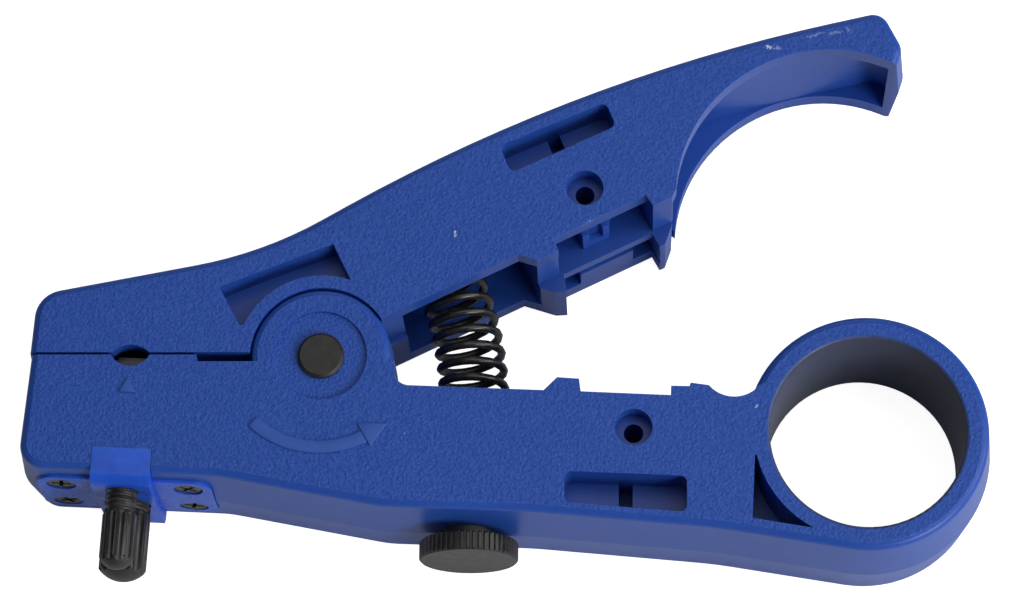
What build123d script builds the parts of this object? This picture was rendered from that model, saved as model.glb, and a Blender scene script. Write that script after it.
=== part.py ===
from build123d import *
import math
import os

# A rotary coaxial cable stripper that lies on its back face.
# X runs along the parting line of the nose, towards the finger ring.
# Y runs from the handle to the lever. Z is the thickness, from the back face up.
# The origin is on the pivot axis, in the plane of the back face. All sizes are in millimetres.

# Mouldings
thickness = 19.8          # over both broad faces
edge_round = 0.95         # rounding of the outer edges of the broad faces
draft = 5.0               # degrees, outer sides lean out from each face to the mid plane
wall = 2.8                # front and back walls of the channels
web = 1.9                 # middle web of the lever
over = 1.0                # a cut runs this far past the face that it opens
far = 60.0                # well past the tool
mid_z = thickness / 2

# Pivot
ear_r = 8.95              # round ears of the lower handle
ear_thick = 5.2
ear_gap = 0.20            # between an ear and the lever around it
hub_gap = 0.15            # side gap between the lever's hub and each ear
hub_r = 9.2
recess_r = 5.95           # round recess in the face of each ear
recess_deep = 0.5
ear_round = 0.8
pocket_arc_r = 10.8       # lower edge of the pocket over the pivot
pocket_deep = 4.5
pin_r = 2.0
pin_head_r = 2.98
pin_head_high = 0.8
pin_head_bevel = 0.33
pin_bore_play = 0.05      # in the lever's hub
ear_bore_play = 0.02
clip_r = 4.2
clip_bore_r = 1.6
clip_thick = 0.8
clip_recess = 1.3
clip_opening = 0.75       # half width of a clip's mouth, as a share of its bore radius

# Nose
nose_reach = 38.3         # pivot axis to the end of the nose
nose_gap = 0.35           # between the two halves of the nose
nose_level = 0.10         # top of the lower nose, above the pivot axis
nose_slope = 0.083        # the end of the lower nose leans out going down
hole_inset = 13.8         # end of the nose to the cable hole
hole_x = -nose_reach + hole_inset
hole_upper_r = 3.4
hole_upper_rise = 1.0
hole_lower_r = 2.75
hole_lower_drop = 1.53
relief_long = 7.05        # shallow relief beside the ear, on the lower nose
relief_deep = 0.9
nose_front_wall = 2.4     # face to the blade room
upper_room_half = 3.7     # blade room of the upper nose, along X
upper_room_high = 3.0

# Finger ring
ring_x = 69.86
ring_y = -10.12
ring_bore_r = 12.45
ring_wall = 3.76          # at the mid plane
ring_rim_round = 0.4
ring_outer_r = ring_bore_r + ring_wall
ring_leave = 12.7         # the ring runs into the handle's top this far left of its centre
triangle_deep = 9.0       # pocket between the handle and the ring
triangle_corners = [(55.48, -13.2), (62.0, -13.2), (66.0, -23.3), (55.09, -21.5)]

# Lever underside line, and its teeth
lever_angle = 26.3        # degrees, of the underside to the nose line
lever_foot = (10.07, 6.17)
back_drop = 0.65          # back half of the underside lies lower
tooth_1 = 16.9            # along the underside, from the foot
tooth_1_wide = 4.9
tooth_1_flank = 1.85
tooth_2 = 35.3
tooth_2_wide = 2.9
tooth_2_flank = 0.15
tooth_deep = 1.75
back_middle_drop = 2.0
middle_roof = 8.0
rib_1 = 18.7              # start of the first cross rib, along the underside
rib_2 = 35.4
rib_wide = 3.0
web_back = 6.5            # back face to the deeper rooms behind the web
boss_left = 26.1          # boss of the lever's screw, along the underside
boss_right = 29.9
boss_deep = 5.0           # under the front face
boss_hole_r = 1.05
boss_hole_deep = 3.5
spine = 3.9               # from the outline at the mid plane to the tail's bay
tail_wall = 1.5           # end wall of the tail
bay_corner_r = 3.2        # corner of the bay between spine and end wall

# Points of the underside's teeth in the back half, along the underside and below it
back_points = [
    (38.9, 0.5), (37.9, 2.3), (36.1, 4.1), (35.3, 4.1), (35.2, 2.0),
    (22.3, 2.0), (21.5, 4.3), (20.1, 3.7),
]

# Finger curve, as points of its edge
tail_corner = (74.5, 39.85)
arch_top = (66.0, 41.95)
arch_end = (56.6, 39.7)
side_end = (45.6, 22.6)

# Spring and its adjuster
spring_x = 18.9
coil_shift = 0.45         # the coil stands this far to the right on its seat
coil_r = 4.1              # wire centre radius
wire_r = 0.56
coil_count = 12
coil_points = 8
spring_bend_r = 45.0
spring_head_gap = 0.02
spring_boss_r = 3.0
spring_bend_y = -4.0      # the spring is straight below this
spring_foot_y = -11.0
knob_r = 6.38
knob_high = 2.5
knob_flutes = 52
flute_deep = 0.22
knob_bottom = -24.65
knob_collar_r = 3.58
knob_collar_play = 0.07
knob_groove_r = 3.1
knob_chamfer = 0.25
knob_clip_r = 4.9
knob_clip_thick = 0.7
clip_side_play = 0.05
clip_shoulder = 0.4       # of the collar, above its clip
stud_r = 2.0
seat_thread_play = 0.05
seat_r = 5.3
seat_spigot_r = 3.0
seat_spigot_high = 1.2
seat_thick = 2.4
stud_top = -8.6
bay_left = 12.0           # spring room of the handle, along X
bay_right = 26.4
bay_floor = -15.6
seat_side_play = 0.3

# Depth adjuster, in a frame that leans with the screws
lean = 2.7                # degrees, the screws lean left going down
block_wide = 7.6
block_top = -12.35
block_bottom = -17.15
block_round = 1.5
block_gap = 0.06
flange_wide = 22.6
flange_deep = 13.0        # along Z
flange_corner = 2.4
flange_face = -16.2
flange_crown_r = 100.0
flange_sink = 9.3         # front face to the middle of the plate
flange_z = thickness - flange_sink
flange_thick = 2.7
flange_gap = 0.10
cover_screw_pitch_x = 16.4
cover_screw_pitch_z = 7.8
cover_head_r = 1.92
cover_head_sink = 0.25
cover_shank_r = 1.0
cover_screw_long = 6.2
cover_play = 0.10

front_screw_z = thickness - 3.7
front_thread_r = 2.0
front_knob_r = 2.24
front_knob_top = -19.9
rear_thread_r = 3.0
rear_knob_r = 3.06
rear_knob_top = -18.3
knob_end = -25.9
knob_dome = 1.5
knob_shoulder = 0.45
depth_flutes = 12
groove_share = 0.17       # radius of a flute, as a share of the knob's
thread_play = 0.05
front_neck_r = 0.65
front_tip_r = 1.05
rear_neck_r = 1.1
rear_tip_r = 1.7
tip_high = 0.9
neck_high = 1.2
tip_play = 0.08
holder_wide = 6.6
holder_top = -4.2
holder_bottom = -9.6
holder_step = -7.0        # the blade stands on this step
front_holder_low = thickness - 5.45
front_holder_high = thickness - 2.5
rear_holder_low = 6.3
rear_holder_high = thickness - 6.0
room_low = 6.0
room_wide = 7.0
room_deep = 0.5           # under the block's top
blade_thick = 0.5
blade_wide = 5.4
blade_tip_wide = 3.6
blade_edge = 0.55         # cutting edge above the nose line, at rest
blade_shoulder = -1.2
blade_bevel_high = 0.8
blade_bevel = 0.4
front_blade_z = thickness - 3.4
rear_blade_z = mid_z + 0.15
blade_pin_r = 0.75
blade_pin_y = -5.6
blade_pin_short = 0.2

# Screw holes and windows
bore_r = 1.25
bore_boss_r = 3.4
counterbore_r = 2.43
counterbore_deep = 3.0
lever_bore = (33.76, 22.74)
handle_bore = (40.09, -9.56)
window_deep = 5.5
window_gap = 1.8
window_corner = 0.9
lever_window = [(24.18, 24.82), (37.80, 31.32), (36.45, 34.65), (22.60, 28.55)]
handle_window = [(31.3, -19.45), (46.85, -20.75), (46.85, -15.95), (31.3, -15.35)]
middle_bay = (34.5, 44.0, -13.5)    # left, right and floor of the handle's middle room
pocket_corners = [(-13.35, 9.27), (1.26, 15.10), (4.20, 9.08), (-9.00, 4.07), (-10.61, 4.07)]

os.makedirs("parts", exist_ok=True)

mid_plane = Plane.XY.offset(mid_z)

# Outer edge of the ring's broad face, inside the draft and the rounded edge
face_inset = mid_z * math.tan(math.radians(draft))
edge_inset = edge_round * math.tan(math.radians(45 - draft / 2))
ring_flat_r = ring_outer_r - face_inset - edge_inset


def lever_point(along, up):
    """A point given along the lever's underside and square to it."""
    a = math.radians(lever_angle)
    x = lever_foot[0] + along * math.cos(a) - up * math.sin(a)
    y = lever_foot[1] + along * math.sin(a) + up * math.cos(a)
    return (x, y)


def prism(face, low, high):
    """A flat face of the XY plane, extruded from one height to another."""
    return extrude(Pos(0, 0, low) * face, amount=high - low)


def polygon(points):
    return make_face(Polyline(*points, close=True))


def disc(radius, low, high, x=0.0, y=0.0):
    return prism(Pos(x, y) * Circle(radius), low, high)


def drafted(face):
    """A moulding's outer form: widest at the mid plane, with drafted sides."""
    half = extrude(mid_plane * face, amount=mid_z, taper=draft)
    return half + mirror(half, about=mid_plane)


def face_edges(body):
    """The edges of the two broad faces."""
    edges = []
    for edge in body.edges():
        middle = edge @ 0.5
        level = abs(edge.tangent_at(0.5).Z) < 0.001
        if level and abs(abs(middle.Z - mid_z) - mid_z) < 0.001:
            edges.append(edge)
    return edges


# Outer forms of the two mouldings, drawn at the mid plane

ring_centre = Vector(ring_x, ring_y)
belly = Vector(50.5, -23.4)          # last bend of the underside before the ring
foot_level = -15.55
nose_foot = (-nose_reach + 0.2 + foot_level * nose_slope, foot_level)
nose_corner_r = 4.0
chin = (hole_x + 11.5, -16.68)       # where the underside starts to fall
chin_r = 14.0
palm = (8.0, -20.68)
palm_r = 16.0
waist = (27.0, -21.33)
waist_r = 60.0
belly_r = 60.0
aux_top = 13.0                       # the outline above the handle, which is cut away


def ring_tangent(point):
    """Where a line from a point below the ring touches the ring's outer circle."""
    to_centre = ring_centre - point
    turn = math.asin(ring_outer_r / to_centre.length)
    slope = math.atan2(to_centre.Y, to_centre.X) - turn
    return ring_centre + Vector(math.sin(slope), -math.cos(slope)) * ring_outer_r


def handle_outline():
    touch = ring_tangent(belly)
    leave = (ring_x - ring_leave, ring_y + math.sqrt(ring_outer_r ** 2 - ring_leave ** 2))
    nose_top = (-nose_reach + 0.2 + aux_top * nose_slope, aux_top)
    under = FilletPolyline(
        nose_top, nose_foot, chin, palm, waist, belly, touch,
        radius=[nose_corner_r, chin_r, palm_r, waist_r, belly_r],
    )
    ring = ThreePointArc(touch, (ring_x + ring_outer_r, ring_y), leave)
    top = Polyline(leave, (leave[0] - aux_top / 2, aux_top), nose_top)
    return make_face([under, ring, top])


lever_brow = (-nose_reach + 0.58, 9.11)
lever_brow_r = 4.6
lever_neck = (-8.23, 14.91)
lever_neck_r = 50.0
lever_crown = (32.26, 38.90)
lever_crown_r = 225.0
tail_top = (73.12, 48.40)
tail_top_r = 3.0
tail_side = (76.15, 42.4)
tail_side_r = 3.0
tail_foot = (72.2, 30.0)
aux_low = -14.0                      # the outline below the lever, which is cut away
aux_right = 60.0
brow_slope = 0.07                    # the end of the upper nose leans back going up


def lever_outline(reach=0.0, top_r=tail_top_r, side_r=tail_side_r):
    """The lever's outline, with its tail moved outwards by a reach along the top."""
    top = Vector(*tail_top) - Vector(*lever_crown)
    move = top.normalized() * reach
    tail = [Vector(*point) + move for point in (tail_top, tail_side, tail_foot)]
    nose_end = (-nose_reach + brow_slope * aux_low, aux_low)
    line = FilletPolyline(
        nose_end, lever_brow, lever_neck, lever_crown, *tail,
        radius=[lever_brow_r, lever_neck_r, lever_crown_r, top_r, side_r],
    )
    return make_face([line, Polyline(tail[-1], (aux_right, aux_low), nose_end)])


def rounded_faces(body, skip):
    """Rounds the broad faces' outer edges, apart from those that skip() names."""
    edges = [edge for edge in face_edges(body) if not skip(edge @ 0.5)]
    return fillet(edges, edge_round)


def finger_curve():
    """The arched edge under the lever's tail, from the tail to the second tooth."""
    arch = ThreePointArc(tail_corner, arch_top, arch_end)
    side = TangentArc(arch @ 1, side_end, tangent=arch % 1)
    return arch, side


def underside(teeth, drop):
    """All that lies under the lever, given its teeth from the tail to the pivot."""
    arch, side = finger_curve()
    nose_y = nose_level + nose_gap
    start = lever_point(0, drop)
    line = Polyline(
        side_end, *teeth, start, (0, start[1] - start[0] * math.tan(math.radians(lever_angle))),
        (0, nose_y), (-far, nose_y), (-far, -far / 2), (2 * far, -far / 2),
        (2 * far, tail_corner[1] - far / 8), tail_corner,
    )
    return make_face([arch, side, line])


def front_teeth():
    return [
        lever_point(tooth_2 + tooth_2_wide, -tooth_deep),
        lever_point(tooth_2 + tooth_2_flank, -tooth_deep),
        lever_point(tooth_2, 0),
        lever_point(tooth_1 + tooth_1_wide, 0),
        lever_point(tooth_1 + tooth_1_wide, -tooth_deep),
        lever_point(tooth_1 + tooth_1_flank, -tooth_deep),
        lever_point(tooth_1, 0),
    ]


def back_teeth():
    points = [lever_point(along, -below) for along, below in back_points]
    return points + [lever_point(tooth_1, -back_drop)]


def window(corners, low):
    """A window with rounded corners and a deeper slot across its middle."""
    face = make_face(FilletPolyline(*corners, radius=window_corner, close=True))
    opening = prism(face, low, thickness + over)
    a, b, c, d = [Vector(*corner) for corner in corners]
    along = (b - a).normalized() * window_gap / 2
    top = (a + b) * 0.5
    bottom = (c + d) * 0.5
    slot = polygon([top - along, top + along, bottom + along, bottom - along])
    return opening + prism(slot, mid_z, low + over)


def screw_bore(place):
    x, y = place
    return disc(bore_r, -over, thickness + over, x, y) + disc(
        counterbore_r, thickness - counterbore_deep, thickness + over, x, y)


def in_adjuster(shape):
    """Moves a shape from the leaning frame of the depth screws to the tool."""
    return Location((hole_x, 0, 0), (0, 0, -lean)) * shape


def block(x0, x1, y0, y1, z0, z1):
    """A plain block between two corners."""
    centre = ((x0 + x1) / 2, (y0 + y1) / 2, (z0 + z1) / 2)
    return Pos(*centre) * Box(x1 - x0, y1 - y0, z1 - z0)


def rod(radius, y0, y1, x=0.0, z=0.0):
    """A round rod along Y."""
    return Location((x, (y0 + y1) / 2, z), (90, 0, 0)) * Cylinder(radius, y1 - y0)


def in_lever(shape):
    """Moves a shape from the frame of the lever's underside to the tool."""
    return Location((*lever_foot, 0), (0, 0, lever_angle)) * shape


def pocket_face():
    """The pocket over the pivot, bounded below by an arc round the ear."""
    return polygon(pocket_corners) - Circle(pocket_arc_r)


def spring_length():
    return spring_bend_y - spring_foot_y + spring_bend_r * math.radians(lever_angle)


def spring_axis(run):
    """Point and side direction of the spring's middle line, a run above its foot."""
    straight = spring_bend_y - spring_foot_y
    coil_x = spring_x + coil_shift
    if run <= straight:
        return Vector(coil_x, spring_foot_y + run, mid_z), Vector(1, 0, 0)
    turn = (run - straight) / spring_bend_r
    side = Vector(math.cos(turn), math.sin(turn), 0)
    centre = Vector(coil_x - spring_bend_r, spring_bend_y, mid_z)
    return centre + side * spring_bend_r, side


def spring_head():
    """Where the spring's middle line meets the lever, in the frame of the underside."""
    away = spring_axis(spring_length())[0] - Vector(*lever_foot, mid_z)
    a = math.radians(lever_angle)
    return away.X * math.cos(a) + away.Y * math.sin(a), away.Y * math.cos(a) - away.X * math.sin(a)


def tail_bay():
    """The open bay under the tail, with a round corner between spine and end wall."""
    outline = lever_outline(spine - tail_wall, spine + bay_corner_r, tail_side_r / 3)
    return offset(outline, amount=-spine)


def upper_handle():
    front = thickness - wall
    body = rounded_faces(
        drafted(lever_outline()),
        lambda m: m.Y < aux_low / 3 or (m.X > aux_right - 5 and m.Y < tail_foot[1] + 2),
    )
    body -= prism(underside(front_teeth(), 0.0), mid_z, thickness + over)
    body -= prism(underside(back_teeth(), -back_drop), -over, mid_z)
    for low, high in ((-over, ear_thick + hub_gap), (thickness - ear_thick - hub_gap, thickness + over)):
        body -= disc(ear_r + ear_gap, low, high)
    body += disc(hub_r, ear_thick + hub_gap, thickness - ear_thick - hub_gap)
    body -= disc(pin_r + pin_bore_play, -over, thickness + over)

    head_u, head_v = spring_head()
    roof = head_v + spring_head_gap
    seat_boss = rod(spring_boss_r, roof - spring_boss_r / 2, roof + over, head_u, mid_z)
    body -= in_lever(block(0.2, rib_1, -hub_r, roof, wall, front) - seat_boss)

    boss = block(boss_left, boss_right, -back_middle_drop, middle_roof, mid_z, thickness - boss_deep)
    hole_u = (boss_left + boss_right) / 2
    boss -= disc(
        boss_hole_r, thickness - boss_deep - boss_hole_deep, thickness - boss_deep + over, hole_u, 0.3)
    room_1 = rib_1 + rib_wide
    body -= in_lever(block(room_1, rib_2, -hub_r, middle_roof, mid_z, front) - boss)
    body -= in_lever(block(room_1, rib_2, -hub_r, middle_roof, web_back, mid_z - web))
    rest = web_back + over / 10
    body -= in_lever(block(room_1, room_1 + rib_wide, -hub_r, middle_roof, wall, rest))
    body -= in_lever(block(rib_2 - rib_wide, rib_2, -hub_r, middle_roof, wall, rest))
    tail_room = in_lever(block(rib_2 + rib_wide, 2 * far, -far, far, wall, front))
    body -= prism(tail_bay(), wall, front) & tail_room
    body += disc(bore_boss_r, wall, front, *lever_bore)

    body -= prism(pocket_face(), thickness - pocket_deep, thickness + over)
    body -= window(lever_window, thickness - window_deep)
    body -= screw_bore(lever_bore)
    nose_front = thickness - nose_front_wall
    body -= block(
        hole_x - upper_room_half, hole_x + upper_room_half, -over, upper_room_high, room_low, nose_front)
    notch_y = nose_level + nose_gap + hole_upper_rise - hole_upper_r
    body -= disc(hole_upper_r, nose_front - over / 10, thickness + over, hole_x, notch_y)
    return body


# Points of the handle's upper edge, from the ear to the ring
edge_start = (9.42, -2.0)
edge_arc = [(9.97, -3.36), (11.5, -4.0)]
grip_points = [
    (28.6, -4.64), (30.32, -2.91), (33.13, -3.11), (33.35, -4.80),
    (44.86, -5.30), (44.88, -4.05), (47.2, -4.10), (47.4, -3.64), (49.7, -3.97),
]
scoop_points = [(52.8, -5.50), (56.2, -3.9)]
ring_side = [(58.5, -3.0), (58.5, 3.0), (51.0, 16.0), (51.0, 40.0)]


def handle_top():
    """All that lies over the handle's upper edge, from the nose to the ring."""
    relief = nose_level - relief_deep
    relief_x = -ear_r - relief_long
    nose = Polyline(
        (-far, ring_side[-1][1]), (-far, nose_level), (relief_x, nose_level), (relief_x + 0.1, relief),
        (edge_start[0], relief), edge_start,
    )
    corner = ThreePointArc(nose @ 1, *edge_arc)
    grip = Polyline(corner @ 1, *grip_points)
    scoop = ThreePointArc(grip @ 1, *scoop_points)
    back = Polyline(scoop @ 1, *ring_side, (-far, ring_side[-1][1]))
    return make_face([nose, corner, grip, scoop, back])


def lower_handle():
    body = rounded_faces(drafted(handle_outline()), lambda m: m.Y > ear_r / 3 and m.X < ring_x - ring_leave)
    ring = drafted(Pos(ring_x, ring_y) * Circle(ring_outer_r))
    ring = fillet(face_edges(ring), edge_round)
    body -= prism(handle_top(), -over, thickness + over) - ring
    body -= disc(hub_r + 0.4, ear_thick, thickness - ear_thick)
    ear = fillet(disc(ear_r, 0, ear_thick).edges().sort_by(Axis.Z)[0], ear_round)
    body += ear + Location((0, 0, thickness), (180, 0, 0)) * ear
    body -= disc(pin_r + ear_bore_play, -over, thickness + over)
    body -= disc(recess_r, thickness - recess_deep, thickness + over)
    body -= disc(clip_r + 0.3, -over, clip_recess)

    body -= disc(ring_bore_r, -over, thickness + over, ring_x, ring_y)
    rims = [edge for edge in face_edges(body)
            if edge.geom_type == GeomType.CIRCLE and abs(edge.radius - ring_bore_r) < 0.01]
    body = fillet(rims, ring_rim_round)

    front = thickness - wall
    body -= block(bay_left, bay_right, bay_floor, ear_r, wall, front)
    body -= rod(knob_collar_r + knob_collar_play, -far, bay_floor + over, spring_x, mid_z)
    left, right, floor = middle_bay
    room = block(left, right, floor, ear_r, wall, front)
    room -= disc(bore_boss_r, wall, front, *handle_bore)
    room -= block(left, right, floor, ear_r, mid_z - web / 2, mid_z + web / 2)
    body -= room
    body -= window(handle_window, thickness - window_deep)
    body -= screw_bore(handle_bore)

    triangle = polygon(triangle_corners) - Pos(ring_x, ring_y) * Circle(ring_flat_r)
    body -= prism(triangle, thickness - triangle_deep, thickness + over)

    half = room_wide / 2
    nose_front = thickness - nose_front_wall
    body -= in_adjuster(block(-half, half, block_top - room_deep, ear_r, room_low, nose_front))
    half = block_wide / 2 + block_gap
    body -= in_adjuster(block(-half, half, -far, block_top, -over, thickness + over))
    body -= in_adjuster(plate(flange_gap, -far))
    body -= in_adjuster(rod(front_thread_r + 0.2, block_top - over, holder_bottom + over, 0, front_screw_z))
    screw_end = flange_face + cover_screw_long + 0.3
    for x, z in cover_screw_places():
        body -= in_adjuster(rod(cover_shank_r + 0.02, flange_face, screw_end, x, z))
    notch_y = nose_level - hole_lower_drop + hole_lower_r
    body -= disc(hole_lower_r, nose_front - over / 10, thickness + over, hole_x, notch_y)
    return body


def plate(gap, low):
    """The adjuster's flat plate, or with a gap the recess for it."""
    outline = RectangleRounded(
        flange_wide + 2 * gap, flange_deep + 2 * gap, flange_corner + gap)
    high = flange_face + flange_thick
    return Location((0, high, flange_z), (90, 0, 0)) * extrude(outline, amount=high - low)


def cover_screw_places():
    """Places of the four cover screws, as x and z of the leaning frame."""
    return [
        (side * cover_screw_pitch_x / 2, flange_z + depth * cover_screw_pitch_z / 2)
        for side in (-1, 1) for depth in (1, -1)
    ]


def adjuster_block():
    half = block_wide / 2
    stem = block(-half, half, block_bottom, block_top, 0, thickness)
    low_edges = stem.edges().filter_by(Axis.X).group_by(Axis.Y)[0]
    stem = fillet(low_edges, block_round)
    crown = rod_x(flange_crown_r, -flange_wide, flange_wide, flange_face + flange_crown_r, flange_z)
    body = stem + (plate(0, flange_face - over) & crown)
    body -= rod(front_thread_r + thread_play, -far, 0, 0, front_screw_z)
    body -= rod(rear_thread_r + thread_play, -far, 0, 0, mid_z)
    for x, z in cover_screw_places():
        body -= rod(cover_shank_r + cover_play, -far, 0, x, z)
        body -= countersink(x, z)
    return in_adjuster(body)


def rod_x(radius, x0, x1, y, z):
    """A round rod along X."""
    return Location(((x0 + x1) / 2, y, z), (0, 90, 0)) * Cylinder(radius, x1 - x0)


def head_level():
    return flange_face + cover_head_sink


def countersink(x, z):
    """The cone of a countersunk head, and the room under it."""
    return screw_cone(x, z) + rod(cover_head_r, head_level() - over, head_level(), x, z)


def screw_cone(x, z):
    """A countersunk head, as deep as it is wider than its shank."""
    depth = cover_head_r - cover_shank_r
    place = Location((x, head_level() + depth / 2, z), (-90, 0, 0))
    return place * Cone(cover_head_r, cover_shank_r, depth)


def cover_screw(x, z):
    neck = head_level() + cover_head_r - cover_shank_r
    shank = rod(cover_shank_r, neck, flange_face + cover_screw_long, x, z)
    return in_adjuster(screw_cone(x, z) + shank)


def pivot_pin():
    head = disc(pin_head_r, thickness - recess_deep, thickness - recess_deep + pin_head_high)
    head = chamfer(head.edges().sort_by(Axis.Z)[-1], pin_head_bevel)
    body = head + disc(pin_r, 0, thickness - recess_deep)
    low = clip_recess - clip_thick
    groove = disc(pin_r + over, low, clip_recess) - disc(clip_bore_r, low, clip_recess)
    return body - groove


def pivot_clip():
    ring = disc(clip_r, clip_recess - clip_thick, clip_recess)
    ring -= disc(clip_bore_r, 0, clip_recess + over)
    gap = clip_opening * clip_bore_r
    return ring - block(-gap, gap, -2 * clip_r, 0, 0, clip_recess + over)


def tension_knob():
    points = []
    for i in range(knob_flutes):
        step = 2 * math.pi / knob_flutes
        for share, deep in ((0, 0), (0.45, 0), (0.6, flute_deep), (0.85, flute_deep)):
            a = (i + share) * step
            points.append(((knob_r - deep) * math.cos(a), (knob_r - deep) * math.sin(a)))
    knurl = extrude(polygon(points), amount=knob_high)
    form = chamfer(extrude(Circle(knob_r), amount=knob_high).edges(), knob_chamfer)
    knurl = knurl & form
    knurl = Location((spring_x, knob_bottom, mid_z), (-90, 0, 0)) * knurl
    clip_low = bay_floor + clip_side_play
    clip_high = clip_low + knob_clip_thick
    collar = rod(knob_collar_r, knob_bottom + knob_high, clip_high + clip_shoulder, spring_x, mid_z)
    groove = rod(knob_collar_r + over, clip_low, clip_high, spring_x, mid_z)
    groove -= rod(knob_groove_r, clip_low, clip_high, spring_x, mid_z)
    stud = rod(stud_r, bay_floor, stud_top, spring_x, mid_z)
    return knurl + (collar - groove) + stud


def knob_clip():
    low = bay_floor + clip_side_play
    ring = rod(knob_clip_r, low, low + knob_clip_thick, spring_x, mid_z)
    ring -= rod(knob_groove_r, low - over, 0, spring_x, mid_z)
    gap = clip_opening * knob_groove_r
    mouth = block(spring_x - gap, spring_x + gap, low - over, 0, mid_z - 2 * knob_clip_r, mid_z)
    return ring - mouth


def spring_seat():
    half = mid_z - wall - seat_side_play
    low = spring_foot_y - seat_thick
    body = block(spring_x - seat_r, spring_x + seat_r, low, spring_foot_y, mid_z - half, mid_z + half)
    body += rod(seat_spigot_r, spring_foot_y, spring_foot_y + seat_spigot_high, spring_x, mid_z)
    return body - rod(stud_r + seat_thread_play, -far, 0, spring_x, mid_z)


def return_spring():
    """A coil whose middle line bends towards the lever's roof."""
    full = spring_length()
    low = wire_r
    high = full - wire_r
    count = coil_count * coil_points
    points = []
    for i in range(count + 1):
        place, side = spring_axis(low + (high - low) * i / count)
        a = 2 * math.pi * i / coil_points
        points.append(place + side * (coil_r * math.cos(a)) + Vector(0, 0, coil_r * math.sin(a)))
    path = Spline(*points)
    section = Plane(origin=path @ 0, z_dir=path % 0) * Circle(wire_r)
    return sweep(section, path=path, is_frenet=True)


def fluted_knob(radius, top, z):
    """A thumb screw's fluted grip with a domed end, along Y of the leaning frame."""
    dome_r = (radius ** 2 + knob_dome ** 2) / (2 * knob_dome)
    half = math.asin(radius / dome_r) / 2
    dome = (dome_r * math.sin(half), knob_end - knob_dome + dome_r * (1 - math.cos(half)))
    profile = make_face([
        Polyline((0, knob_end - knob_dome), (0, top), (radius - knob_shoulder, top),
                 (radius, top - knob_shoulder), (radius, knob_end)),
        ThreePointArc((radius, knob_end), dome, (0, knob_end - knob_dome)),
    ])
    grip = revolve(profile, axis=Axis.Y)
    groove_r = radius * groove_share
    reach = radius + groove_r / 10
    for i in range(depth_flutes):
        a = 2 * math.pi * (i + 0.5) / depth_flutes
        x, y = reach * math.cos(a), reach * math.sin(a)
        grip -= rod(groove_r, knob_end - 2 * knob_dome, top + over, x, y)
    return Pos(0, 0, z) * grip


def depth_screw(thread_r, grip_r, top, neck_r, tip_r, z):
    neck_low = holder_bottom - tip_play
    tip_low = holder_bottom + neck_high + tip_play
    body = fluted_knob(grip_r, top, z)
    body += rod(thread_r, top - over / 2, neck_low, 0, z)
    body += rod(neck_r, neck_low - over / 2, tip_low + over / 2, 0, z)
    body += rod(tip_r, tip_low, tip_low + tip_high, 0, z)
    return in_adjuster(body)


def blade_holder(low, high, blade_z, z, neck_r, tip_r):
    """A carrier with a slot at the foot for the screw's tip and a step for the blade."""
    half = holder_wide / 2
    body = block(-half, half, holder_bottom, holder_top, low, high)
    body -= block(-holder_wide, holder_wide, holder_step, 0, blade_z, high + over)
    neck = neck_r + tip_play
    tip = tip_r + tip_play
    tip_low = holder_bottom + neck_high
    tip_room = tip_low + tip_high + 2 * tip_play
    body -= rod(neck, holder_bottom - over, tip_low + over / 10, 0, z)
    body -= block(-neck, neck, holder_bottom - over, tip_low + over / 10, z, high + over)
    body -= rod(tip, tip_low, tip_room, 0, z)
    body -= block(-tip, tip, tip_low, tip_room, z, high + over)
    body -= disc(blade_pin_r, low - over, high + over, 0, blade_pin_y)
    return in_adjuster(body)


def blade(z):
    half = blade_wide / 2
    tip = blade_tip_wide / 2
    outline = polygon([
        (-half, holder_step), (half, holder_step), (half, blade_shoulder),
        (tip, blade_edge), (-tip, blade_edge), (-half, blade_shoulder),
    ])
    body = prism(outline, z, z + blade_thick)
    edge = body.edges().filter_by(Axis.X).group_by(Axis.Y)[-1].sort_by(Axis.Z)[0]
    body = chamfer(edge, blade_bevel, blade_bevel_high)
    return in_adjuster(body - disc(blade_pin_r, 0, thickness, 0, blade_pin_y))


def blade_pin(low, high):
    return in_adjuster(disc(blade_pin_r, low + blade_pin_short, high, 0, blade_pin_y))


pieces = {
    "lower_handle": lower_handle(),
    "upper_handle": upper_handle(),
    "pivot_pin": pivot_pin(),
    "pivot_clip": pivot_clip(),
    "return_spring": return_spring(),
    "spring_seat": spring_seat(),
    "tension_knob": tension_knob(),
    "knob_clip": knob_clip(),
    "adjuster_block": adjuster_block(),
    "depth_screw_front": depth_screw(
        front_thread_r, front_knob_r, front_knob_top, front_neck_r, front_tip_r, front_screw_z),
    "depth_screw_rear": depth_screw(
        rear_thread_r, rear_knob_r, rear_knob_top, rear_neck_r, rear_tip_r, mid_z),
    "blade_holder_front": blade_holder(
        front_holder_low, front_holder_high, front_blade_z, front_screw_z, front_neck_r, front_tip_r),
    "blade_holder_rear": blade_holder(
        rear_holder_low, rear_holder_high, rear_blade_z, mid_z, rear_neck_r, rear_tip_r),
    "blade_front": blade(front_blade_z),
    "blade_rear": blade(rear_blade_z),
    "blade_pin_front": blade_pin(front_holder_low, front_blade_z + blade_thick),
    "blade_pin_rear": blade_pin(rear_holder_low, rear_blade_z + blade_thick),
}
for number, (x, z) in enumerate(cover_screw_places(), 1):
    pieces[f"cover_screw_{number}"] = cover_screw(x, z)

for name, piece in pieces.items():
    export_step(piece, f"parts/{name}.step")
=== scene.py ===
# Looks of the coaxial cable stripper, round its CAD solids.
# Lengths are in metres unless a comment says millimetres.

import math

import bpy
import bmesh
from mathutils import Matrix, Vector


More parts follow.
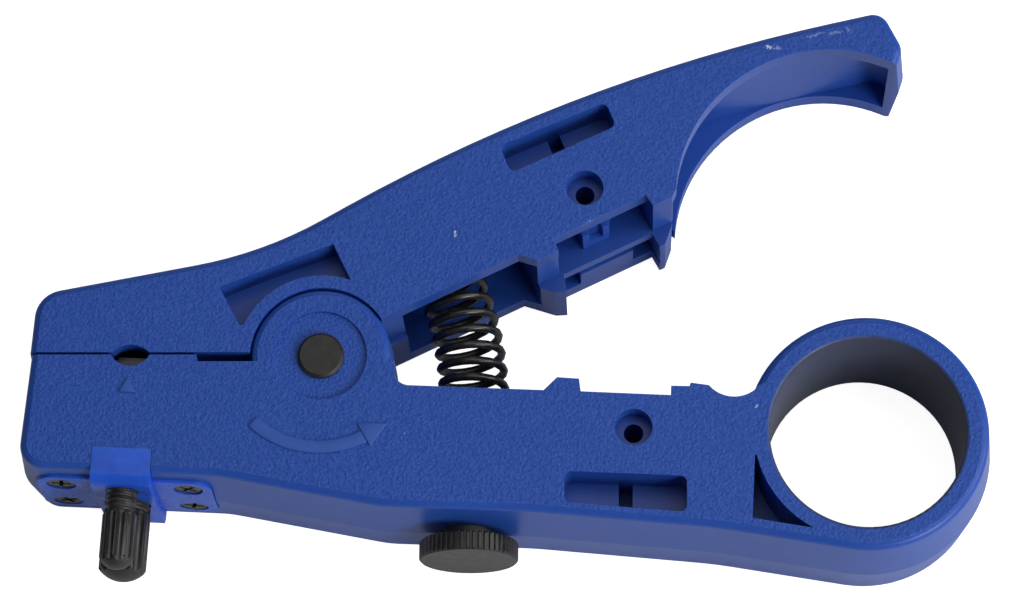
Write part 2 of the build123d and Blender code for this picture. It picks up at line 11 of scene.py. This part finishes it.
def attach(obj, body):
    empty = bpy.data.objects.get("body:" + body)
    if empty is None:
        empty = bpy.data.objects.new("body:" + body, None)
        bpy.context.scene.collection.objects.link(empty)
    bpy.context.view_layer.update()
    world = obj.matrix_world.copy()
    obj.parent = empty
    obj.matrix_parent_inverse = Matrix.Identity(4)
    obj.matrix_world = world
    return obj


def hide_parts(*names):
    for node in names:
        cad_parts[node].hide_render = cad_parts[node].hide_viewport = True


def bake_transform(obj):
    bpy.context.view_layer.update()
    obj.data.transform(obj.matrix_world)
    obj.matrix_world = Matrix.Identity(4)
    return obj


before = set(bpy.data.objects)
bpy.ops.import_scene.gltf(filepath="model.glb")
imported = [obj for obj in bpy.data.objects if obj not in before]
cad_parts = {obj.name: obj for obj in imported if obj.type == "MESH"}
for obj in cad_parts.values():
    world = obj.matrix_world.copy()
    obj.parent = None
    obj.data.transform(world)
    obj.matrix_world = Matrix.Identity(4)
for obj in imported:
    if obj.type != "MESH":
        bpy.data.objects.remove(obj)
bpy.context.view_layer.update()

MM = 0.001
THICK = 19.8 * MM
MID = THICK / 2
TOP = THICK / MM

# Depth screws: where their plane meets the nose line, and their lean
SCREW_X = -24.5 * MM
LEAN = math.radians(2.7)


# Tools for modelling

def only(obj):
    """Makes an object the only selected and active one."""
    bpy.ops.object.select_all(action="DESELECT")
    obj.select_set(True)
    bpy.context.view_layer.objects.active = obj


def named(name):
    """Names the object that an operator has just added, and its mesh."""
    obj = bpy.context.object
    obj.name = name
    obj.data.name = name
    return obj


def edit_all():
    """Opens the active object for editing, with all of it selected."""
    bpy.ops.object.mode_set(mode="EDIT")
    bpy.ops.mesh.select_all(action="SELECT")


def edit_done():
    bpy.ops.object.mode_set(mode="OBJECT")


def copy_of(node, name):
    """A merged copy of a CAD node, for a finer piece that replaces it."""
    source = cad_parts[node]
    obj = bpy.data.objects.new(name, source.data.copy())
    bpy.context.collection.objects.link(obj)
    obj.data.name = name
    obj.data.materials.clear()
    only(obj)
    edit_all()
    bpy.ops.mesh.remove_doubles(threshold=0.002 * MM)
    bpy.ops.mesh.normals_make_consistent(inside=False)
    edit_done()
    return obj


def apply_place(obj):
    only(obj)
    bpy.ops.object.transform_apply(location=True, rotation=True, scale=True)


def combine(obj, other, operation):
    """Cuts one mesh out of another or joins the two, and removes the other."""
    modifier = obj.modifiers.new("combine", "BOOLEAN")
    modifier.operation = operation
    modifier.solver = "EXACT"
    modifier.object = other
    only(obj)
    bpy.ops.object.modifier_apply(modifier=modifier.name)
    bpy.data.objects.remove(other)


def wire(name, points, radius, resolution):
    """A round wire along a row of points, as a mesh."""
    curve = bpy.data.curves.new(name, "CURVE")
    curve.dimensions = "3D"
    curve.bevel_depth = radius
    curve.bevel_resolution = resolution
    curve.use_fill_caps = True
    line = curve.splines.new("POLY")
    line.points.add(len(points) - 1)
    for spot, point in zip(line.points, points):
        spot.co = (*point, 1)
    obj = bpy.data.objects.new(name, curve)
    bpy.context.collection.objects.link(obj)
    only(obj)
    bpy.ops.object.convert(target="MESH")
    return bpy.context.object


def smooth(obj, degrees):
    only(obj)
    bpy.ops.object.shade_smooth_by_angle(angle=math.radians(degrees))


def finish(obj, skin, body):
    """Gives a piece its material and body."""
    obj.data.materials.clear()
    obj.data.materials.append(skin)
    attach(obj, body)


def leaning(x, y, z):
    """A place given in the frame of the depth screws, in metres."""
    across = SCREW_X + x * math.cos(LEAN) + y * math.sin(LEAN)
    return Vector((across, y * math.cos(LEAN) - x * math.sin(LEAN), z))


# Nodes of the materials

def material(name, colour, roughness, metallic=0.0, specular=0.5):
    """A Principled material, with its node tree and its shader."""
    mat = bpy.data.materials.new(name)
    mat.use_nodes = True
    shader = mat.node_tree.nodes["Principled BSDF"]
    shader.inputs["Base Color"].default_value = (*colour, 1)
    shader.inputs["Roughness"].default_value = roughness
    shader.inputs["Metallic"].default_value = metallic
    shader.inputs["Specular IOR Level"].default_value = specular
    mat.diffuse_color = (*colour, 1)
    return mat, mat.node_tree, shader


def glow(shader):
    """Light that sinks into the plastic and comes out blue at its edges."""
    shader.inputs["Subsurface Weight"].default_value = 0.3
    shader.inputs["Subsurface Radius"].default_value = (0.2, 0.5, 1.0)
    shader.inputs["Subsurface Scale"].default_value = 1.8 * MM


def shade(colour, factor, lift=0.0):
    """A darker or lighter shade of a colour."""
    return tuple(c * factor + lift for c in colour)


def own_place(tree):
    """The piece's own coordinates."""
    return tree.nodes.new("ShaderNodeTexCoord").outputs["Object"]


def xyz(tree, vector):
    """The X, Y and Z of a vector."""
    node = tree.nodes.new("ShaderNodeSeparateXYZ")
    tree.links.new(vector, node.inputs["Vector"])
    return node.outputs


def noise(tree, where, scale, detail=4.0, rough=0.55):
    node = tree.nodes.new("ShaderNodeTexNoise")
    node.inputs["Scale"].default_value = scale
    node.inputs["Detail"].default_value = detail
    node.inputs["Roughness"].default_value = rough
    tree.links.new(where, node.inputs["Vector"])
    return node.outputs["Fac"]


def remap(tree, value, low, high, new_low=0.0, new_high=1.0):
    node = tree.nodes.new("ShaderNodeMapRange")
    node.inputs["From Min"].default_value = low
    node.inputs["From Max"].default_value = high
    node.inputs["To Min"].default_value = new_low
    node.inputs["To Max"].default_value = new_high
    tree.links.new(value, node.inputs["Value"])
    return node.outputs["Result"]


def calc(tree, operation, a, b=0.0):
    node = tree.nodes.new("ShaderNodeMath")
    node.operation = operation
    for socket, value in zip(node.inputs, (a, b)):
        if isinstance(value, (int, float)):
            socket.default_value = value
        else:
            tree.links.new(value, socket)
    return node.outputs["Value"]


def mix_colour(tree, factor, a, b):
    node = tree.nodes.new("ShaderNodeMix")
    node.data_type = "RGBA"
    tree.links.new(factor, node.inputs["Factor"])
    for socket, value in ((node.inputs["A"], a), (node.inputs["B"], b)):
        if isinstance(value, tuple):
            socket.default_value = (*value, 1)
        else:
            tree.links.new(value, socket)
    return node.outputs["Result"]


def bump(tree, shader, height, strength, distance, under=None):
    """Relief on a shader, over the relief that lies under it."""
    node = tree.nodes.new("ShaderNodeBump")
    node.inputs["Strength"].default_value = strength
    node.inputs["Distance"].default_value = distance
    tree.links.new(height, node.inputs["Height"])
    if under is not None:
        tree.links.new(under, node.inputs["Normal"])
    tree.links.new(node.outputs["Normal"], shader.inputs["Normal"])
    return node.outputs["Normal"]


# Blue plastic of the two mouldings

BLUE = (0.019, 0.077, 0.380)
PARTING_BLUE = (0.008, 0.035, 0.190)
# Dark grey painted into the finger ring's bore, standing in for its shade and grey reflections
BORE_SHADE_GREY = (0.070, 0.078, 0.105)
BARE = (0.50, 0.58, 0.70)
TORN = (0.12, 0.30, 0.62)

# Finger ring: the middle and radius of its bore, in millimetres
RING = (69.86, -10.12, 12.45)

# Spark-eroded grain: its noise scale and depth. It fades out between two depths under the outer faces,
# and as a face turns away from level
GRAIN_SCALE = 2700
GRAIN_DEPTH = 0.19 * MM
GRAIN_FADE = (0.9 * MM, 0.7 * MM)
GRAIN_LEVEL = (0.97, 0.998)

# Parting line: half its width where it ends and where it is full, and its strength
PARTING_HALF = (0.13 * MM, 0.05 * MM)
PARTING_STRENGTH = 0.5

# Painted shade and grey reflection in the finger ring's bore: how far past its radius, in millimetres, the grey
# ends and is full; and its strength
BORE_SHADE_FADE = (0.5, 0.1)
BORE_SHADE_STRENGTH = 0.85

# Marks of wear: place in millimetres; length, width in millimetres and turn in degrees; strength; colour
LEVER_MARKS = [
    ((17.01, 16.58, TOP), (0.40, 0.20, 85), 1.0, BARE),
    ((4.77, 7.19, TOP), (0.26, 0.20, 0), 0.8, BARE),
    ((57.75, 42.33, TOP), (0.42, 0.24, 8), 1.0, BARE),
    ((58.9, 42.2, TOP), (0.6, 0.24, 5), 0.35, BARE),
    ((63.86, 44.0, TOP), (1.1, 0.18, 18), 0.28, BARE),
    ((66.4, 44.3, TOP), (1.0, 0.20, 12), 0.25, BARE),
    ((68.3, 44.7, TOP), (0.6, 0.20, -40), 0.2, BARE),
    ((34.5, 17.95, TOP), (0.9, 0.32, 20), 0.7, TORN),
    ((36.2, 18.35, TOP), (0.8, 0.28, 30), 0.7, TORN),
]
HANDLE_MARKS = [
    ((55.8, -6.76, TOP), (0.26, 0.14, 50), 0.6, BARE),
    ((22.72, -22.08, 9.0), (0.9, 0.12, 10), 0.7, BARE),
    ((23.9, -22.4, 8.0), (0.6, 0.14, -25), 0.6, BARE),
    ((-32.88, -15.6, 16.8), (0.17, 0.17, 0), 0.9, BARE),
    ((11.0, -10.4, TOP), (0.16, 0.13, 0), 0.4, BARE),
]


def mark(tree, where, ragged, place, size):
    """A worn mark: one inside its ragged outline and nought outside."""
    length, width, turn = size
    shift = tree.nodes.new("ShaderNodeVectorMath")
    shift.operation = "SUBTRACT"
    tree.links.new(where, shift.inputs[0])
    shift.inputs[1].default_value = [value * MM for value in place]
    rotate = tree.nodes.new("ShaderNodeVectorRotate")
    rotate.rotation_type = "Z_AXIS"
    rotate.inputs["Angle"].default_value = math.radians(-turn)
    tree.links.new(shift.outputs["Vector"], rotate.inputs["Vector"])
    scale = tree.nodes.new("ShaderNodeVectorMath")
    scale.operation = "MULTIPLY"
    tree.links.new(rotate.outputs["Vector"], scale.inputs[0])
    scale.inputs[1].default_value = (1 / (length * MM), 1 / (width * MM), 1 / MM)
    away = tree.nodes.new("ShaderNodeVectorMath")
    away.operation = "LENGTH"
    tree.links.new(scale.outputs["Vector"], away.inputs[0])
    edge = calc(tree, "ADD", away.outputs["Value"], ragged)
    return remap(tree, edge, 1.0, 0.7)


def paint_bore_shade(tree, where, skin):
    """Paints dark grey into the inside of the finger ring, as painted shade and painted grey reflection."""
    x, y, radius = RING
    none, full = BORE_SHADE_FADE
    place = xyz(tree, where)
    across = calc(tree, "SUBTRACT", place["X"], x * MM)
    along = calc(tree, "SUBTRACT", place["Y"], y * MM)
    square = calc(tree, "ADD", calc(tree, "MULTIPLY", across, across), calc(tree, "MULTIPLY", along, along))
    away = calc(tree, "SQRT", square)
    inside = remap(tree, away, (radius + none) * MM, (radius + full) * MM, new_high=BORE_SHADE_STRENGTH)
    return mix_colour(tree, inside, skin, BORE_SHADE_GREY)


def parting_line(tree, off_mid, flat, skin):
    """The thin line round the sides, where the two halves of the mould met."""
    line = remap(tree, off_mid, *PARTING_HALF, new_high=PARTING_STRENGTH)
    upright = remap(tree, flat, low=0.0, high=0.1, new_low=1.0, new_high=0.0)
    return mix_colour(tree, calc(tree, "MULTIPLY", line, upright), skin, PARTING_BLUE)


def moulded_blue(name, marks, bore=False):
    """Blue moulding: grain on the broad faces, painted lighter on its tops and darker in its hollows as
    highlight and shade, satin sides, small pale marks of wear, and with bore, painted shade in the finger
    ring's bore.
    """
    mat, tree, shader = material(name, BLUE, roughness=0.5, specular=0.30)
    glow(shader)
    own = tree.nodes.new("ShaderNodeTexCoord")
    where = own.outputs["Object"]
    level = calc(tree, "ABSOLUTE", xyz(tree, own.outputs["Normal"])["Z"])
    off_mid = calc(tree, "ABSOLUTE", calc(tree, "SUBTRACT", xyz(tree, where)["Z"], MID))
    outer = remap(tree, off_mid, MID - GRAIN_FADE[0], MID - GRAIN_FADE[1])
    flat = calc(tree, "MULTIPLY", remap(tree, level, *GRAIN_LEVEL), outer)

    grain = noise(tree, where, GRAIN_SCALE, detail=2.0, rough=0.5)
    # The grain's tops are painted lighter and its hollows darker: painted highlight and painted shade on the
    # relief
    hills = remap(tree, grain, low=0.36, high=0.70)
    grain_painted_light = mix_colour(tree, hills, shade(BLUE, 0.93, -0.004), shade(BLUE, 1.06, 0.009))
    cloud = noise(tree, where, scale=90, detail=3.0, rough=0.5)
    plain = mix_colour(tree, remap(tree, cloud, low=0.35, high=0.65), shade(BLUE, 0.92), BLUE)
    skin = mix_colour(tree, flat, plain, grain_painted_light)
    # Painted shade and grey reflection inside the finger ring's bore
    if bore:
        skin = paint_bore_shade(tree, where, skin)
    skin = parting_line(tree, off_mid, flat, skin)
    specks = noise(tree, where, scale=3800, detail=2.0)
    ragged = remap(tree, specks, low=0.3, high=0.7, new_low=-0.8, new_high=0.9)
    for place, size, strength, tint in marks:
        worn = calc(tree, "MULTIPLY", mark(tree, where, ragged, place, size), strength)
        skin = mix_colour(tree, worn, skin, tint)
    tree.links.new(skin, shader.inputs["Base Color"])

    dull = remap(tree, flat, low=0, high=1, new_low=0.34, new_high=0.55)
    tree.links.new(dull, shader.inputs["Roughness"])
    under = bump(tree, shader, calc(tree, "MULTIPLY", grain, flat), strength=1.0, distance=GRAIN_DEPTH)
    swell = noise(tree, where, scale=260, detail=2.0, rough=0.5)
    bump(tree, shader, swell, strength=0.08, distance=0.1 * MM, under=under)
    return mat


# The other materials

def smooth_blue(name, colour):
    """The smooth tops of the raised signs."""
    mat, tree, shader = material(name, colour, roughness=0.42, specular=0.3)
    where = own_place(tree)
    cloud = noise(tree, where, scale=500, detail=3.0, rough=0.6)
    skin = mix_colour(tree, remap(tree, cloud, low=0.35, high=0.65), shade(colour, 0.9), colour)
    tree.links.new(skin, shader.inputs["Base Color"])
    ripple = noise(tree, where, scale=2400, detail=2.0)
    bump(tree, shader, ripple, strength=0.06, distance=0.03 * MM)
    return mat


def glossy_blue(name, colour, dark, light):
    """The smooth and glossier plastic of the block under the nose."""
    mat, tree, shader = material(name, colour, roughness=0.3, specular=0.28)
    glow(shader)
    where = own_place(tree)
    cloud = noise(tree, where, scale=220, detail=4.0, rough=0.6)
    skin = mix_colour(tree, remap(tree, cloud, low=0.3, high=0.7), dark, light)
    tree.links.new(skin, shader.inputs["Base Color"])
    film = noise(tree, where, scale=900, detail=3.0)
    dull = remap(tree, film, low=0.3, high=0.7, new_low=0.24, new_high=0.40)
    tree.links.new(dull, shader.inputs["Roughness"])
    bump(tree, shader, cloud, strength=0.05, distance=0.2 * MM)
    return mat


def black_steel(name, colour, sheen, dullness):
    """Blackened steel, rubbed lighter in places, with its least and most roughness."""
    mat, tree, shader = material(name, colour, roughness=0.4)
    where = own_place(tree)
    cloud = noise(tree, where, scale=700, detail=5.0, rough=0.65)
    skin = mix_colour(tree, remap(tree, cloud, low=0.45, high=0.8), colour, shade(colour, 2.0, 0.01))
    tree.links.new(skin, shader.inputs["Base Color"])
    dull = remap(tree, cloud, low=0.3, high=0.7, new_low=sheen, new_high=dullness)
    tree.links.new(dull, shader.inputs["Roughness"])
    scratches = noise(tree, where, scale=1500, detail=3.0, rough=0.6)
    bump(tree, shader, scratches, strength=0.12, distance=0.05 * MM)
    return mat


def ground_steel(name, colour, sheen, dullness):
    """Bare steel with streaks along X, with its least and most roughness."""
    mat, tree, shader = material(name, colour, roughness=0.3, metallic=1.0)
    stretch = tree.nodes.new("ShaderNodeMapping")
    stretch.inputs["Scale"].default_value = (1, 30, 30)
    tree.links.new(own_place(tree), stretch.inputs["Vector"])
    streaks = noise(tree, stretch.outputs["Vector"], scale=150, detail=3.0, rough=0.6)
    tree.links.new(mix_colour(tree, streaks, shade(colour, 0.8), colour), shader.inputs["Base Color"])
    dull = remap(tree, streaks, low=0.3, high=0.7, new_low=sheen, new_high=dullness)
    tree.links.new(dull, shader.inputs["Roughness"])
    bump(tree, shader, streaks, strength=0.1, distance=0.03 * MM)
    return mat


lever_blue = moulded_blue("lever blue", LEVER_MARKS)
handle_blue = moulded_blue("handle blue", HANDLE_MARKS, bore=True)
sign_blue = smooth_blue("sign blue", (0.030, 0.088, 0.390))
block_blue = glossy_blue("glossy blue block", (0.015, 0.086, 0.58),
                         dark=(0.013, 0.078, 0.50), light=(0.018, 0.105, 0.64))
oxide_black = black_steel("black oxide", (0.014, 0.014, 0.014), 0.36, 0.55)
screw_grey = black_steel("rubbed black oxide", (0.042, 0.039, 0.037), 0.34, 0.5)
# Near-black for the faces inside the cover screws' cross recesses: painted shade in the recesses
recess_painted_shade = black_steel("recess painted shade", (0.004, 0.004, 0.004), 0.6, 0.8)
pin_black = black_steel("pin black", (0.011, 0.010, 0.009), 0.45, 0.6)
knob_black = black_steel("knob black", (0.014, 0.014, 0.013), 0.35, 0.5)
spring_black = black_steel("spring black", (0.010, 0.010, 0.010), 0.22, 0.4)
blade_steel = ground_steel("ground blade steel", (0.05, 0.05, 0.053), 0.25, 0.4)
zinc_steel = ground_steel("dull zinc", (0.40, 0.40, 0.41), 0.35, 0.55)
holder_steel = ground_steel("dark plated holder", (0.07, 0.07, 0.073), 0.4, 0.6)

# What each CAD node is made of
CAD_FINISH = {
    "lower_handle": handle_blue, "upper_handle": lever_blue, "adjuster_block": block_blue,
    "pivot_pin": pin_black, "pivot_clip": zinc_steel,
    "return_spring": spring_black, "spring_seat": zinc_steel,
    "tension_knob": knob_black, "knob_clip": zinc_steel,
    "blade_holder_front": holder_steel, "blade_holder_rear": holder_steel,
    "blade_front": blade_steel, "blade_rear": blade_steel,
    "blade_pin_front": zinc_steel, "blade_pin_rear": zinc_steel,
    "depth_screw_front": oxide_black, "depth_screw_rear": oxide_black,
    "cover_screw_1": oxide_black, "cover_screw_2": oxide_black,
    "cover_screw_3": oxide_black, "cover_screw_4": oxide_black,
}
for node, skin in CAD_FINISH.items():
    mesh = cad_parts[node].data
    mesh.materials.clear()
    mesh.materials.append(skin)


# Return spring, drawn again as a coiled wire. In millimetres: its middle line is straight
# from the foot up to the bend, and then bends round a radius through a turn

SPRING_X = 19.35
SPRING_FOOT = -11.0
SPRING_BEND = -4.0
SPRING_BEND_R = 45.0
SPRING_TURN = math.radians(26.3)
COIL_R = 4.1
WIRE_R = 0.56
COILS = 12
STEPS_PER_COIL = 20


def spring_point(run, angle):
    """A point of the wire: a run along the middle line and an angle round it."""
    straight = SPRING_BEND - SPRING_FOOT
    if run <= straight:
        middle = Vector((SPRING_X, SPRING_FOOT + run, MID / MM))
        side = Vector((1, 0, 0))
    else:
        turn = (run - straight) / SPRING_BEND_R
        side = Vector((math.cos(turn), math.sin(turn), 0))
        middle = Vector((SPRING_X - SPRING_BEND_R, SPRING_BEND, MID / MM)) + side * SPRING_BEND_R
    return (middle + side * COIL_R * math.cos(angle) + Vector((0, 0, COIL_R * math.sin(angle)))) * MM


def return_spring():
    """The spring: a coiled wire that takes the place of the CAD spring."""
    full = SPRING_BEND - SPRING_FOOT + SPRING_BEND_R * SPRING_TURN
    low, high = WIRE_R, full - WIRE_R
    steps = COILS * STEPS_PER_COIL
    points = []
    for i in range(steps + 1):
        share = i / steps
        points.append(spring_point(low + (high - low) * share, 2 * math.pi * COILS * share))
    obj = wire("return_spring_wire", points, WIRE_R * MM, resolution=3)
    smooth(obj, degrees=60)
    obj.data.materials.clear()
    obj.data.materials.append(spring_black)
    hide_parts("return_spring")
    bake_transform(obj)


return_spring()


# Raised turning arrow round the pivot, and the raised triangle beside the cable hole

SIGN_HIGH = 0.22 * MM
SIGN_ROOT = 0.05 * MM
SIGN_FOOT = THICK - SIGN_ROOT
SIGN_RIM = 0.16 * MM
ARROW_IN = 11.4 * MM
ARROW_OUT = 13.1 * MM
ARROW_START = math.radians(-134)
ARROW_END = math.radians(-62)
ARROW_STEPS = 36

# Corners, in millimetres
ARROW_HEAD = ((8.76, -9.11), (4.80, -9.05), (6.56, -12.22))
CABLE_SIGN = ((-24.68, -2.92), (-25.88, -4.92), (-23.50, -5.06))


def polar(radius, angle):
    return Vector((radius * math.cos(angle), radius * math.sin(angle), SIGN_FOOT))


def thicken(obj):
    """Gives a flat sign its thickness."""
    only(obj)
    edit_all()
    bpy.ops.mesh.extrude_region_move(TRANSFORM_OT_translate={"value": (0, 0, SIGN_HIGH + SIGN_ROOT)})
    bpy.ops.mesh.select_all(action="SELECT")
    bpy.ops.mesh.normals_make_consistent(inside=False)
    edit_done()


def soften(obj, body):
    """Slopes a sign's walls, and finishes it."""
    rim = obj.modifiers.new("rim", "BEVEL")
    rim.width = SIGN_RIM
    rim.segments = 3
    rim.angle_limit = math.radians(50)
    only(obj)
    bpy.ops.object.modifier_apply(modifier=rim.name)
    smooth(obj, degrees=30)
    finish(obj, sign_blue, body)


def triangle(name, corners):
    """A raised triangle: a three-sided disc whose corners are moved to their places."""
    corners = [Vector((x * MM, y * MM, SIGN_FOOT)) for x, y in corners]
    bpy.ops.object.select_all(action="DESELECT")
    bpy.ops.mesh.primitive_circle_add(vertices=3, radius=1 * MM, fill_type="NGON",
                                      location=sum(corners, Vector()) / 3)
    obj = named(name)
    apply_place(obj)
    for vert, corner in zip(obj.data.vertices, corners):
        vert.co = corner
    thicken(obj)
    return obj


def turning_arrow():
    """The arrow: a band made of an edge spun round the pivot, joined with its head."""
    bpy.ops.object.select_all(action="DESELECT")
    bpy.ops.mesh.primitive_plane_add(size=ARROW_OUT - ARROW_IN, location=(0, 0, SIGN_FOOT))
    band = named("turning_arrow")
    apply_place(band)
    bpy.ops.object.mode_set(mode="EDIT")
    work = bmesh.from_edit_mesh(band.data)
    bmesh.ops.delete(work, geom=[vert for vert in work.verts if vert.co.y > 0], context="VERTS")
    for vert in work.verts:
        vert.co = polar(ARROW_IN if vert.co.x < 0 else ARROW_OUT, ARROW_START)
    bmesh.update_edit_mesh(band.data)
    bpy.ops.mesh.select_all(action="SELECT")
    bpy.ops.mesh.spin(steps=ARROW_STEPS, angle=ARROW_START - ARROW_END,
                      center=(0, 0, THICK), axis=(0, 0, 1))
    edit_done()
    thicken(band)
    combine(band, triangle("arrow_head", ARROW_HEAD), "UNION")
    soften(band, "handle")


turning_arrow()
soften(triangle("cable_triangle", CABLE_SIGN), "handle")


# Cross recesses of the cover screws, in millimetres and in the frame of the depth screws

COVER_PITCH_X = 16.4
COVER_PITCH_Z = 7.8
COVER_Z = THICK / MM - 9.3
COVER_LEVEL = -15.95
COVER_TURNS = (8, -25, 38, 12)
CROSS_LONG = 2.5
CROSS_DEEP = 1.8
CROSS_WIDE = 0.52
# A face is inside the recess, and gets painted shade, when it lies between two heights over the recess's middle
# and within a radius
RECESS_LOW = 0.02
RECESS_HIGH = 0.95
RECESS_R = 1.26


def cover_screw(number, x, z, turn):
    """A cover screw with its cross recess cut in."""
    middle = leaning(x * MM, COVER_LEVEL * MM, z * MM)
    obj = copy_of(f"cover_screw_{number}", f"cover_screw_{number}_recessed")
    for quarter in (0, 90):
        bpy.ops.object.select_all(action="DESELECT")
        bpy.ops.mesh.primitive_cube_add(size=1)
        tool = named("recess_tool")
        edit_all()
        bpy.ops.transform.resize(value=(CROSS_LONG * MM, CROSS_DEEP * MM, CROSS_WIDE * MM))
        edit_done()
        tool.rotation_euler = (0, math.radians(turn + quarter), -LEAN)
        tool.location = middle
        apply_place(tool)
        combine(obj, tool, "DIFFERENCE")
    smooth(obj, degrees=25)
    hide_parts(f"cover_screw_{number}")
    finish(obj, screw_grey, "handle")
    # The faces inside the cross recess get the near-black material: painted shade
    obj.data.materials.append(recess_painted_shade)
    axis = (leaning(0, 1 * MM, 0) - leaning(0, 0, 0)).normalized()
    for face in obj.data.polygons:
        away = face.center - middle
        height = away.dot(axis)
        if RECESS_LOW * MM < height < RECESS_HIGH * MM and (away - axis * height).length < RECESS_R * MM:
            face.material_index = 1


def cover_screws():
    places = [(side * COVER_PITCH_X / 2, COVER_Z + depth * COVER_PITCH_Z / 2)
              for side in (-1, 1) for depth in (1, -1)]
    for number, (place, turn) in enumerate(zip(places, COVER_TURNS), 1):
        cover_screw(number, *place, turn)


cover_screws()


# Threads of the two depth screws

STEPS_PER_TURN = 24

# Node and body; then in millimetres the height of the axis, the thread's radius and pitch, the groove's radius,
# and the thread's foot and top
THREADS = [
    ("depth_screw_front", "front_screw", 16.1, 2.03, 0.7, 0.27, -19.85, -16.4),
    ("depth_screw_rear", "rear_screw", MID / MM, 3.05, 1.0, 0.38, -18.2, -16.2),
]


def threaded(node, body, z, radius, pitch, groove, foot, top):
    """A depth screw with its thread: a round wire wound into the shaft and cut away."""
    obj = copy_of(node, f"{node}_threaded")
    steps = int((top - foot) / pitch * STEPS_PER_TURN)
    points = []
    for i in range(steps + 1):
        along = foot + (top - foot) * i / steps
        angle = 2 * math.pi * (along - foot) / pitch
        x, deep = radius * math.cos(angle), radius * math.sin(angle)
        points.append(leaning(x * MM, along * MM, (z + deep) * MM))
    combine(obj, wire("thread_tool", points, groove * MM, resolution=1), "DIFFERENCE")
    smooth(obj, degrees=30)
    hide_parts(node)
    finish(obj, oxide_black, body)


for row in THREADS:
    threaded(*row)


# Camera, at the photograph's angle

camera_data = bpy.data.cameras.new("camera")
camera_data.sensor_width = 36
camera_data.lens = 144.14
camera_data.clip_start = 0.01
camera_data.clip_end = 10
camera = bpy.data.objects.new("camera", camera_data)
bpy.context.collection.objects.link(camera)
camera.matrix_world = Matrix((
    (0.999517, 0.000384, 0.031079, 0.040852),
    (0.009322, 0.950189, -0.311533, -0.157338),
    (-0.029650, 0.311673, 0.949727, 0.520318),
    (0, 0, 0, 1),
))
bpy.context.scene.camera = camera


# Floor, lamps and room. The floor and the room look white to the camera and are dimmer to the object

FLOOR_SIZE = 4
FLOOR_GAP = 0.2 * MM
FLOOR_WHITE = 0.9
ROOM_LIGHT = 0.09
LAMP_AIM = Vector((0.02, 0.0, 0.0))

# Name, place, width and watts
LAMPS = [
    ("key", (0.602, -0.582, 0.475), 0.5, 5.0),
    ("side", (0.843, 0.0, 0.475), 0.5, 3.0),
    ("high", (0.495, 0.0, 0.823), 0.5, 1.5),
    ("top", (0.03, 0.15, 0.94), 0.6, 1.3),
    ("back", (0.02, 0.778, 0.545), 0.5, 0.8),
]


def camera_ray(tree):
    return tree.nodes.new("ShaderNodeLightPath").outputs["Is Camera Ray"]


def paper_floor():
    bpy.ops.object.select_all(action="DESELECT")
    bpy.ops.mesh.primitive_plane_add(size=FLOOR_SIZE, location=(0, 0, -FLOOR_GAP))
    floor = named("floor")
    paper, tree, shader = material("white paper", (0.75, 0.75, 0.75), roughness=0.9, specular=0.1)
    seen = calc(tree, "MULTIPLY", camera_ray(tree), FLOOR_WHITE)
    tree.links.new(seen, shader.inputs["Emission Strength"])
    shader.inputs["Emission Color"].default_value = (1, 1, 1, 1)
    floor.data.materials.append(paper)


def lamp(name, place, size, power):
    data = bpy.data.lights.new(name, "AREA")
    data.shape = "DISK"
    data.size = size
    data.energy = power
    obj = bpy.data.objects.new(name, data)
    bpy.context.collection.objects.link(obj)
    obj.location = place
    obj.rotation_euler = (LAMP_AIM - Vector(place)).to_track_quat("-Z", "Y").to_euler()


def white_room():
    world = bpy.data.worlds.new("studio")
    world.use_nodes = True
    tree = world.node_tree
    room = tree.nodes["Background"]
    room.inputs["Color"].default_value = (1, 1, 1, 1)
    light = remap(tree, camera_ray(tree), low=0, high=1, new_low=ROOM_LIGHT, new_high=1.0)
    tree.links.new(light, room.inputs["Strength"])
    bpy.context.scene.world = world


paper_floor()
for row in LAMPS:
    lamp(*row)
white_room()
bpy.context.scene.view_settings.view_transform = "Standard"
